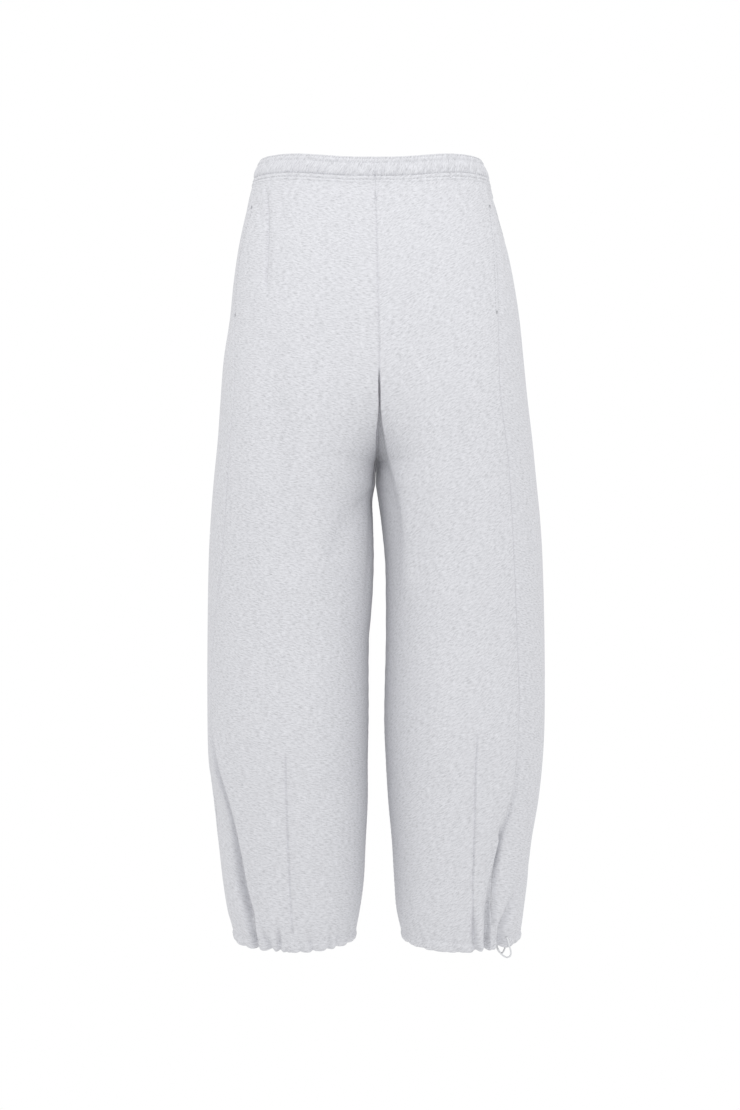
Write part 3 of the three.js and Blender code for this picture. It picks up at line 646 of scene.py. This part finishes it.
def fleece(name, tone, contrast, nap):
    material, tree, surface = blank(name)
    uv = node(tree, "ShaderNodeUVMap", uv_map="cloth").outputs[0]
    bend = node(tree, "ShaderNodeTexNoise", {"Vector": uv, "Scale": 38.0, "Detail": 1.0}).outputs["Color"]
    inputs = {0: bend, 1: (0.006, 0.006, 0), 2: uv}
    wavy = node(tree, "ShaderNodeVectorMath", inputs, operation="MULTIPLY_ADD").outputs[0]
    streaks = noise(tree, wavy, 430, (0.4, 1.7, 1), 0.0, 3.0, 0.66)
    fibres = noise(tree, wavy, 900, (0.4, 1.6, 1), 0.35)
    cloud = noise(tree, uv, 75)
    mixed = sums(tree, (streaks, 0.72), (fibres, 0.2), (cloud, 0.08))
    dark, light = shade(tone, 1 - contrast), shade(tone, 1 + 0.62 * contrast)
    melange = ramp(tree, mixed, (0.37, dark), (0.5, tone), (0.63, light))
    specks = noise(tree, wavy, 620, (0.42, 1.5, 1), -0.5, 1.0)
    flecks = ramp(tree, specks, (0.66, (1, 1, 1)), (0.74, (1 - 0.9 * contrast,) * 3))
    inputs = {0: 1.0, 6: melange, 7: flecks}
    color = node(tree, "ShaderNodeMix", inputs, data_type="RGBA", blend_type="MULTIPLY").outputs[2]
    tree.links.new(color, surface.inputs["Base Color"])
    inputs = {"Vector": wavy, "Scale": 150.0, "Distortion": 1.2, "Detail": 1.0}
    ribs = node(tree, "ShaderNodeTexWave", inputs, bands_direction="X").outputs["Fac"]
    height = sums(tree, (streaks, 0.5), (fibres, 0.6 * nap), (ribs, 0.18), (noise(tree, uv, 2300), 0.5 * nap))
    bump = node(tree, "ShaderNodeBump", {"Height": height, "Strength": 0.5, "Distance": 0.0006 * nap})
    tree.links.new(bump.outputs[0], surface.inputs["Normal"])
    surface.inputs["Roughness"].default_value = 0.95
    surface.inputs["Specular IOR Level"].default_value = 0.12
    surface.inputs["Sheen Weight"].default_value = 0.12 * nap
    surface.inputs["Sheen Roughness"].default_value = 0.55
    return material


def yarn(name, tone, turns):
    """Thread or cord: fine strands, drawn by the object's own coordinates."""
    material, tree, surface = blank(name)
    where = node(tree, "ShaderNodeTexCoord").outputs["Object"]
    inputs = {"Vector": where, "Scale": turns, "Distortion": 2.0, "Detail": 2.0}
    strands = node(tree, "ShaderNodeTexWave", inputs, bands_direction="DIAGONAL").outputs["Fac"]
    mixed = sums(tree, (strands, 0.6), (noise(tree, where, 1500), 0.4))
    color = ramp(tree, mixed, (0.3, shade(tone, 0.88)), (0.7, tone))
    tree.links.new(color, surface.inputs["Base Color"])
    bump = node(tree, "ShaderNodeBump", {"Height": mixed, "Strength": 0.4, "Distance": 0.0002})
    tree.links.new(bump.outputs[0], surface.inputs["Normal"])
    surface.inputs["Roughness"].default_value = 0.8
    surface.inputs["Specular IOR Level"].default_value = 0.2
    return material


FLEECE = fleece("heather_fleece", MELANGE, 0.22, 1.0)
NAP = fleece("brushed_inside", shade(MELANGE, 1.05), 0.05, 2.0)
JERSEY = fleece("pocket_jersey", shade(MELANGE, 1.08), 0.06, 0.6)
THREAD = yarn("thread", (0.50, 0.505, 0.53), 900.0)
CORDAGE = yarn("braided_cord", (0.74, 0.75, 0.77), 420.0)
print("materials:", [material.name for material in (FLEECE, NAP, JERSEY, THREAD, CORDAGE)])

# %% [markdown]
# Every cloth piece starts as a flat grid from bmesh. Its points are then moved to their places on
# the cloth, and each keeps its UV in metres of cloth, turned to the way the melange runs on that
# piece. Solidify gives the shell its real thickness inwards, with the brushed side within.
# A ring is a grid whose first and last columns are merged.


# %% From a grid to a piece of cloth
def place_grid(name, points, uvs, merged):
    """A mesh of rows and columns of points in millimetres, with their UV, also in millimetres."""
    rows, columns = points.shape[:2]
    bm = bmesh.new()
    bm.loops.layers.uv.new("cloth")
    bmesh.ops.create_grid(bm, x_segments=columns - 1, y_segments=rows - 1, size=1.0)
    mesh = bpy.data.meshes.new(name)
    bm.to_mesh(mesh)
    bm.free()
    flat = np.empty(3 * len(mesh.vertices))
    mesh.vertices.foreach_get("co", flat)
    i = np.rint((flat[0::3] + 1) / 2 * (columns - 1)).astype(int)
    j = np.rint((1 - flat[1::3]) / 2 * (rows - 1)).astype(int)
    mesh.vertices.foreach_set("co", (points[j, i] * MM).ravel())
    corners = np.empty(len(mesh.loops), int)
    mesh.loops.foreach_get("vertex_index", corners)
    mesh.uv_layers["cloth"].data.foreach_set("uv", (uvs[j, i][corners] * MM).ravel())
    mesh.shade_smooth()
    bm = bmesh.new()
    bm.from_mesh(mesh)
    if merged:
        bmesh.ops.remove_doubles(bm, verts=bm.verts, dist=1e-6)
    for edge in bm.edges:
        edge.smooth = not edge.is_boundary
    bm.to_mesh(mesh)
    bm.free()
    return mesh


def link(name, mesh, slot, *materials):
    piece = bpy.data.objects.new(name, mesh)
    bpy.context.scene.collection.objects.link(piece)
    for material in materials:
        mesh.materials.append(material)
    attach(piece, "root")
    return piece


def turned(uvs, angle):
    across, down = uvs[..., 0], uvs[..., 1]
    cos, sin = math.cos(angle), math.sin(angle)
    return np.stack([across * cos - down * sin, across * sin + down * cos], axis=-1)


def cloth_piece(name, points, outs, uvs, wall, slot, materials, merged=False):
    """outs says which way is out, and the columns are reversed where the grid faces inwards."""
    across, down = np.gradient(points, axis=1), np.gradient(points, axis=0)
    if np.sum(np.cross(down, across) * outs) < 0:
        points, uvs = points[:, ::-1], uvs[:, ::-1]
    mesh = place_grid(name, points, uvs, merged)
    piece = link(name, mesh, slot, *materials)
    if wall:
        solid = piece.modifiers.new("wall", "SOLIDIFY")
        solid.thickness = wall * MM
        solid.offset = -1
        solid.material_offset = len(materials) - 1
        solid.use_quality_normals = True
    area = sum(face.area for face in mesh.polygons)
    print(f"{name}: {len(mesh.polygons)} faces, {area:.3f} square metres")
    return piece


def normals(points, outs):
    """Directions straight out of the cloth at the points of a grid."""
    straight = np.cross(np.gradient(points, axis=0), np.gradient(points, axis=1))
    straight *= np.sign(np.sum(straight * outs, axis=-1, keepdims=True))
    return straight / np.linalg.norm(straight, axis=-1, keepdims=True)


# %% [markdown]
# Each leg has a front and a back panel. Their rows lie closest together round the crotch and at
# the hem, and their columns crowd next to seams, darts and sharp folds, where the detail is.

# %% Leg panels
PANEL_COLUMNS = 130
PANEL_ROWS = [
    # from, to, rows
    (BAND_FOOT - SEAM_GAP, STRIP_FOOT - 2, 12),
    (STRIP_FOOT - 2, -70, 16),
    (-70, LEAVE, 44),
    (LEAVE, CROTCH, 44),
    (CROTCH, -480, 34),
    (-480, -720, 52),
    (-720, GATHER_TOP, 50),
    (GATHER_TOP, CASING_TOP, 54),
]
FALL = {"front_right": -0.2, "front_left": -0.5, "back_right": -0.5, "back_left": 0.2}


def panel_heights():
    heights = []
    for start, end, count in PANEL_ROWS:
        share = np.arange(count) / count
        if end == CROTCH:
            share = np.sin(np.pi / 2 * share)
        heights += list(start + (end - start) * share)
    return [*heights, CASING_TOP]


def crowded_places(side, face, z, count):
    """Places of one row's columns, closer together at its edges and next to sharp folds."""
    even = np.linspace(0, 1, 8 * count)
    places = panel_places(side, face, z, even)
    x, y, height, *_ = base_row(side, z, places)
    u, v = seen(x, y, height) if face == "front" else (x, height)
    density = 1 + 2.5 * sum(np.exp(-(((places - edge) / 5) ** 2)) for edge in (places[0], places[-1]))
    for fold_face, kind, _, width, line in FOLDS:
        if fold_face == face and kind in SHARP:
            xs, zs = np.array(line).T
            near = np.exp(-(((u - np.interp(v, zs[::-1], xs[::-1])) / (width + 2.5)) ** 2))
            density += 8 / (width + 0.6) * near * fade(zs[0] + 30 - v, 0, 30) * fade(v - zs[-1] + 30, 0, 30)
    if face == "front":
        edge = np.interp(v, CLEFT["z"][::-1], CLEFT["right"][::-1])
        density += 3 * np.exp(-(((u - edge) / 4) ** 2)) * fade(v, -262, -290) * fade(v, -520, -440)
    total = np.concatenate([[0], np.cumsum((density[1:] + density[:-1]) / 2)])
    shares = np.interp(np.linspace(0, total[-1], count), total, even)
    return panel_places(side, face, z, shares)


STRIP_STITCH = -31.0  # height of the row of stitches on the strip under the waistband
STRIP_LIFT, BAND_DIP, STITCH_DIP = 0.9, 0.5, 1.1


def strip_rise(z):
    """The turned seam allowance under the waistband stands out and is stitched down."""
    edge = STRIP_LIFT * fade(z, STRIP_FOOT - 1.5, STRIP_FOOT)
    seam = BAND_DIP * np.exp(-(((z - BAND_FOOT) / 1.2) ** 2))
    return edge - seam - STITCH_DIP * np.exp(-(((z - STRIP_STITCH) / 0.8) ** 2))


RUFFLE_SHARE, RUFFLE_FOOT, RUFFLE_WHOLE = 0.55, -96, -40


def ruffle(z):
    """How much of the waist's gathers goes on in the cloth below the waistband."""
    return RUFFLE_SHARE * fade(z, RUFFLE_FOOT, RUFFLE_WHOLE)


HEIGHTS = panel_heights()
RISE = strip_rise(np.array(HEIGHTS))[:, None]
RUFFLES = ruffle(np.array(HEIGHTS))[:, None]

for side in (-1, 1):
    for face in ("front", "back"):
        name = f"{face}_{SIDE_NAMES[side]}"
        places = np.array([crowded_places(side, face, z, PANEL_COLUMNS) for z in HEIGHTS])
        points, outs = cloth(side, HEIGHTS, places, RISE, RUFFLES)
        seams = np.array([section(side, z)["seam"] for z in HEIGHTS])[:, None]
        uvs = turned(np.stack([places - seams, points[..., 2]], axis=-1), FALL[name])
        piece = cloth_piece(f"{name}_cloth", points, outs, uvs, WALL, "fleece", (FLEECE, NAP))
        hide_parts(name)

# %% [markdown]
# The waistband is one strip of fleece folded over the elastic. Its grid goes up the outside, over
# the top edge and down the inside. Two rows of stitching pinch it, the lower one above the tunnel
# that the elastic puckers.

# %% Waistband
BAND_COLUMNS = 660
HALF_COLUMNS = BAND_COLUMNS // 2 + 1
BAND_PROFILE = table(
    "z rise pucker",
    (-26, 0.3, 0.6),
    (-25.4, 0.5, 0.9),
    (-24.2, 1.0, 1.2),
    (-21.5, 1.8, 1.2),
    (-17.5, 2.2, 1.0),
    (-13.5, 1.8, 0.8),
    (-11.4, 1.1, 0.7),
    (-10.3, 0.2, 0.6),
    (-9.4, 0.8, 0.5),
    (-7.6, 1.4, 0.5),
    (-5.6, 0.9, 0.5),
    (-4.6, 0.1, 0.4),
    (-3.9, 0.5, 0.4),
    (-3.0, 0.4, 0.4),
    (-2.5, -0.6, 0.4),
    (-2.4, -1.7, 0.3),
    (-2.9, -2.8, 0.2),
    (-5, -3.4, 0.2),
    (-10, -3.0, 0.3),
    (-18, -3.4, 0.4),
    (-26, -3.3, 0.3),
)
BAND_ROWS_FINE = 46
BAND_LAYER = 1.5
BAND_TURN = 1.2  # the melange runs up the band, because the strip is cut across the cloth
BAND_OUTSIDE = 0.55  # share of the rows that lie on the outside of the fold


def ring(side, heights, rise, pucker, count):
    """A half ring of the waist on one leg's section, from the centre front to the centre back."""
    shares = np.linspace(0, 1, count)
    places = np.array([section(side, z)["length"] * shares for z in heights])
    return cloth(side, heights, places, rise, pucker)


def resampled(profile, count):
    """The columns of a profile at evenly spaced places along its line."""
    steps = np.hypot(np.diff(profile["z"]), np.diff(profile["rise"]))
    along = np.concatenate([[0], np.cumsum(steps)])
    even = np.linspace(0, along[-1], count)
    return {name: np.interp(even, along, values) for name, values in profile.items()}, even


profile, profile_along = resampled(BAND_PROFILE, BAND_ROWS_FINE)
halves = []
for side in (-1, 1):
    rise, pucker = profile["rise"][:, None], profile["pucker"][:, None]
    half = ring(side, profile["z"], rise, pucker, HALF_COLUMNS)
    halves.append(half if side < 0 else [grid[:, ::-1] for grid in half])
points, outs = (np.concatenate([halves[0][k], halves[1][k][:, 1:]], axis=1) for k in (0, 1))
points[:, -1] = points[:, 0]
girth = np.linalg.norm(np.diff(points[10], axis=0), axis=-1).sum()
across = np.broadcast_to(np.linspace(0, girth, points.shape[1]), points.shape[:2])
down = np.broadcast_to(profile_along[:, None], points.shape[:2])
facing = np.where(np.arange(BAND_ROWS_FINE)[:, None, None] < BAND_OUTSIDE * BAND_ROWS_FINE, 1, -1)
outs = outs * facing
uvs = turned(np.stack([across, down], -1), BAND_TURN)
waistband = cloth_piece(
    "waistband_cloth", points, outs, uvs, BAND_LAYER, "fleece", (FLEECE, NAP), merged=True
)
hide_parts("waistband")
print("girth of the band:", round(girth), "mm")

# %% [markdown]
# A hem casing is the leg's end turned up and stitched, with the drawcord inside. Its grid goes
# down the outside, round the hem and up the inside, on the same gathers as the leg above it.

# %% Hem casings
CASING_COLUMNS = 360
CASING_PROFILE = table(
    "z rise",
    (-967.06, 0.0),
    (-968.0, 0.3),
    (-969.2, 0.4),
    (-969.9, 0.2),
    (-970.7, 0.7),
    (-973.0, 1.8),
    (-976.0, 2.0),
    (-978.8, 1.5),
    (-980.6, 0.3),
    (-981.2, -1.0),
    (-980.4, -2.3),
    (-978.0, -2.9),
    (-973.0, -3.0),
    (-967.5, -2.6),
)
CASING_ROWS_FINE = 34
CASING_LAYER = 1.3
CASING_OUTSIDE = 0.5  # share of the rows that lie on the outside of the turned hem

profile, profile_along = resampled(CASING_PROFILE, CASING_ROWS_FINE)
for side in (-1, 1):
    name = f"hem_casing_{SIDE_NAMES[side]}"
    shares = np.linspace(0, 1, CASING_COLUMNS)
    places = np.array([section(side, z)["length"] * shares for z in profile["z"]])
    points, outs = cloth(side, profile["z"], places, profile["rise"][:, None])
    points[:, -1] = points[:, 0]
    down = np.broadcast_to(-profile_along[:, None], places.shape)
    facing = np.where(np.arange(CASING_ROWS_FINE)[:, None, None] < CASING_OUTSIDE * CASING_ROWS_FINE, 1, -1)
    outs = outs * facing
    uvs = turned(np.stack([places, down], -1), FALL[f"front_{SIDE_NAMES[side]}"])
    piece = cloth_piece(
        f"{name}_cloth", points, outs, uvs, CASING_LAYER, "fleece", (FLEECE, NAP), merged=True
    )
    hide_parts(name)

# %% [markdown]
# A pocket bag is two layers of thin jersey behind the front panel. Its mouth is sewn into the side
# seam, and its lower corner is rounded.

# %% Pocket bags
POCKET_TOP, POCKET_FOOT = -62.0, -292.0
POCKET_REACH, POCKET_WALL, POCKET_GAP, MOUTH_GAP = 0.62, 1.6, 1.9, 0.7
BAG_ROWS, BAG_COLUMNS = 60, 40

for side in (-1, 1):
    name = f"pocket_bag_{SIDE_NAMES[side]}"
    downs = np.linspace(0, 1, BAG_ROWS)
    heights = POCKET_TOP + (POCKET_FOOT - POCKET_TOP) * downs
    reach = POCKET_REACH * (0.62 + 0.38 * np.sin(np.pi * np.clip(0.15 + 0.6 * downs, 0, 1)))
    start = 0.008 + 0.3 * fade(downs, 0.75, 1)
    end = reach * np.sqrt(1 - 0.6 * fade(downs, 0.7, 1))
    between = np.linspace(0, 1, BAG_COLUMNS)
    shares = 1 - (start[:, None] + (end - start)[:, None] * between)
    places = np.array([panel_places(side, "front", z, row) for z, row in zip(heights, shares)])
    points, outs = cloth(side, heights, places)
    gap = WALL + MOUTH_GAP + (POCKET_GAP - MOUTH_GAP) * np.clip(between * 5, 0, 1)
    points = points - normals(points, outs) * gap[None, :, None]
    uvs = np.stack([places, points[..., 2]], -1)
    piece = cloth_piece(f"{name}_cloth", points, outs, uvs, POCKET_WALL, "pocketing", (JERSEY,))
    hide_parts(name)

# %% [markdown]
# The drawcord leaves the casing, hangs below the hem, goes up behind it, comes down again in a
# smaller loop and ends in the casing. It is a tube of braided strands round the route of its solid.

# %% Drawcord
CORD_ROUTE = [
    (166.2, -51.8, -970),
    (167.4, -53.0, -971.6),
    (168.2, -53.2, -974.6),
    (169.2, -52.6, -978.8),
    (170.4, -51.2, -983.2),
    (171.5, -49.0, -987.2),
    (171.8, -46.6, -991.2),
    (170.4, -44.8, -994.6),
    (166.8, -43.4, -996),
    (162.4, -42.4, -993.8),
    (158.4, -41.8, -989.6),
    (155.8, -41.4, -984.6),
    (154.6, -41.0, -979.4),
    (154.2, -40.0, -974.4),
    (154.4, -37.2, -970.6),
    (154.8, -33.6, -970.4),
    (155.0, -31.2, -974),
    (155.0, -30.6, -979.6),
    (155.6, -30.8, -986),
    (158.2, -31.0, -991.2),
    (161.8, -31.4, -992.8),
    (164.4, -32.0, -989),
    (166.0, -33.0, -984),
    (167.4, -34.4, -979),
    (168.2, -35.2, -975.6),
]
CORD_THICKNESS = 2.0
CORD_SIDES, CORD_STEPS = 20, 10
STRANDS, BRAID_PITCH, BRAID_DEPTH = 4, 3.2, 0.07


def smooth_route(route, steps):
    """A curve through all the points of a route, with even steps between each two."""
    knots = np.array(route, float)
    knots = np.concatenate([[2 * knots[0] - knots[1]], knots, [2 * knots[-1] - knots[-2]]])
    line = []
    for a, b, c, d in zip(knots, knots[1:], knots[2:], knots[3:]):
        for t in np.arange(steps) / steps:
            square = (2 * a - 5 * b + 4 * c - d) * t**2 / 2
            cube = (3 * b - a - 3 * c + d) * t**3 / 2
            line.append(b + (c - a) * t / 2 + square + cube)
    return np.array([*line, knots[-2]])


route = smooth_route(CORD_ROUTE, CORD_STEPS)
along = np.concatenate([[0], np.cumsum(np.linalg.norm(np.diff(route, axis=0), axis=-1))])
ahead = np.gradient(route, axis=0)
ahead /= np.linalg.norm(ahead, axis=-1, keepdims=True)
across = [np.cross(ahead[0], (0, 1, 0))]
for direction in ahead[1:]:
    across.append(across[-1] - np.dot(across[-1], direction) * direction)
across = np.array(across) / np.linalg.norm(across, axis=-1, keepdims=True)
over = np.cross(ahead, across)
angle = np.linspace(0, 2 * np.pi, CORD_SIDES + 1)[None, :]
crossing = np.sin(STRANDS * angle + 2 * np.pi * along[:, None] / BRAID_PITCH)
crossing = crossing * np.sin(STRANDS * angle - 2 * np.pi * along[:, None] / BRAID_PITCH)
radius = (CORD_THICKNESS / 2 * (1 - BRAID_DEPTH + 2 * BRAID_DEPTH * np.abs(crossing)))[..., None]
outs = np.cos(angle)[..., None] * across[:, None] + np.sin(angle)[..., None] * over[:, None]
points = route[:, None] + radius * outs
points[:, -1] = points[:, 0]
uvs = np.stack(np.broadcast_arrays(angle, along[:, None]), -1)
cord = cloth_piece("hem_drawcord_left_braid", points, outs, uvs, 0, "cord", (CORDAGE,), merged=True)
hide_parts("hem_drawcord_left")
print("drawcord:", round(along[-1], 1), "mm")

# %% [markdown]
# Stitches are small separate loops of thread, each a stretched ball, laid along rows on the cloth.
# The rows sit where the photo shows them: two on the waistband, one under it, one round each hem,
# one beside each pocket mouth, with a dense bar tack at each end of the mouth.

# %% Stitches
STITCH = (2.3, 0.55, 0.34)  # length, width and how far a stitch stands out, in millimetres
PITCH = 4.2


def stitch_row(bm, points, outs, pitch=PITCH, size=STITCH):
    """Stitches at even steps along a line of points on the cloth."""
    along = np.concatenate([[0], np.cumsum(np.linalg.norm(np.diff(points, axis=0), axis=-1))])
    for place in np.arange(pitch / 2, along[-1], pitch):
        here = np.array([np.interp(place, along, points[:, k]) for k in range(3)])
        ends = [np.array([np.interp(place + d, along, points[:, k]) for k in range(3)]) for d in (-0.8, 0.8)]
        forward = Vector(ends[1] - ends[0]).normalized()
        out = Vector([np.interp(place, along, outs[:, k]) for k in range(3)]).normalized()
        side_way = out.cross(forward).normalized()
        out = forward.cross(side_way)
        turn = np.array([forward * size[0] / 2, side_way * size[1] / 2, out * size[2]]).T
        made = bmesh.ops.create_icosphere(bm, subdivisions=1, radius=1.0)["verts"]
        for vert in made:
            vert.co = Vector((turn @ np.array(vert.co) + here) * MM)


def finish_stitches(name, bm):
    mesh = bpy.data.meshes.new(name)
    bm.to_mesh(mesh)
    bm.free()
    mesh.shade_smooth()
    print(name, len(mesh.polygons), "faces")
    return link(name, mesh, "fleece", THREAD)


STITCH_OUT = 0.12
WAIST_ROWS = ((-10.3, 0.2, 0.6), (-4.6, 0.1, 0.4))  # height, rise and pucker, as in BAND_PROFILE
bm = bmesh.new()
for z, rise, pucker in (*WAIST_ROWS, (STRIP_STITCH, strip_rise(STRIP_STITCH), ruffle(STRIP_STITCH))):
    for side in (-1, 1):
        line, outs = ring(side, [z + 0.5, z, z - 0.5], rise + STITCH_OUT, pucker, HALF_COLUMNS)
        stitch_row(bm, line[1], outs[1])
finish_stitches("waist_stitches", bm)

HEM_ROW, HEM_PITCH, HEM_OUT = -969.9, 3.0, -0.05
for side in (-1, 1):
    bm = bmesh.new()
    shares = np.linspace(0, 1, CASING_COLUMNS)
    heights = [HEM_ROW + 0.4, HEM_ROW, HEM_ROW - 0.4]
    places = np.array([section(side, height)["length"] * shares for height in heights])
    line, outs = cloth(side, heights, places, HEM_OUT)
    stitch_row(bm, line[1], outs[1], HEM_PITCH)
    finish_stitches(f"hem_stitches_{SIDE_NAMES[side]}", bm)

MOUTH_STITCH = 6.0  # from the edge of the pocket mouth
TACK = (3.4, 0.6, 0.4)
TACK_PITCH, TACK_TALL, TACK_STITCHES = 3.6, 3.2, 9
TACK_PLACES = (5.5, 3.5, 1.5)  # from the edge of the pocket mouth
TACK_OUT = STITCH_OUT + 0.1
for side in (-1, 1):
    bm = bmesh.new()
    heights = np.linspace(MOUTH_TOP, MOUTH_FOOT, 120)
    seams = np.array([section(side, z)["seam"] for z in heights])
    places = np.stack([seams - MOUTH_STITCH + step for step in (-0.5, 0, 0.5)], -1)
    line, outs = cloth(side, heights, places, STITCH_OUT)
    stitch_row(bm, line[:, 1], outs[:, 1])
    for z in (MOUTH_TOP, MOUTH_FOOT):
        for at in z + np.linspace(-TACK_TALL / 2, TACK_TALL / 2, TACK_STITCHES):
            seam = section(side, at)["seam"]
            line, outs = cloth(side, [at], np.array([[seam - place for place in TACK_PLACES]]), TACK_OUT)
            stitch_row(bm, line[0], outs[0], TACK_PITCH, TACK)
    finish_stitches(f"pocket_stitches_{SIDE_NAMES[side]}", bm)

# %% [markdown]
# The photo is lit from all round in front of pure white, with a little more light from above and
# in front. The world gives the even part and the white ground, and two large lamps give the rest.

# %% Light
scene = bpy.context.scene
scene.view_settings.view_transform = "Standard"
scene.view_settings.look = "None"
world = bpy.data.worlds.new("white")
world.use_nodes = True
world.node_tree.nodes["Background"].inputs["Color"].default_value = (1.0, 1.0, 1.0, 1)
world.node_tree.nodes["Background"].inputs["Strength"].default_value = 1.0
scene.world = world


def lamp(name, place, aim, size, power):
    light = bpy.data.lights.new(name, "AREA")
    light.shape = "RECTANGLE"
    light.size, light.size_y = size
    light.energy = power
    held = bpy.data.objects.new(name, light)
    held.location = place
    held.rotation_euler = (Vector(aim) - Vector(place)).to_track_quat("-Z", "Y").to_euler()
    scene.collection.objects.link(held)


lamp("key", (0.3, -1.7, 0.8), (0, 0, -0.2), (1.2, 1.2), 6)
lamp("top", (-0.3, -1.0, 0.95), (0, 0, -0.1), (0.9, 0.9), 3)
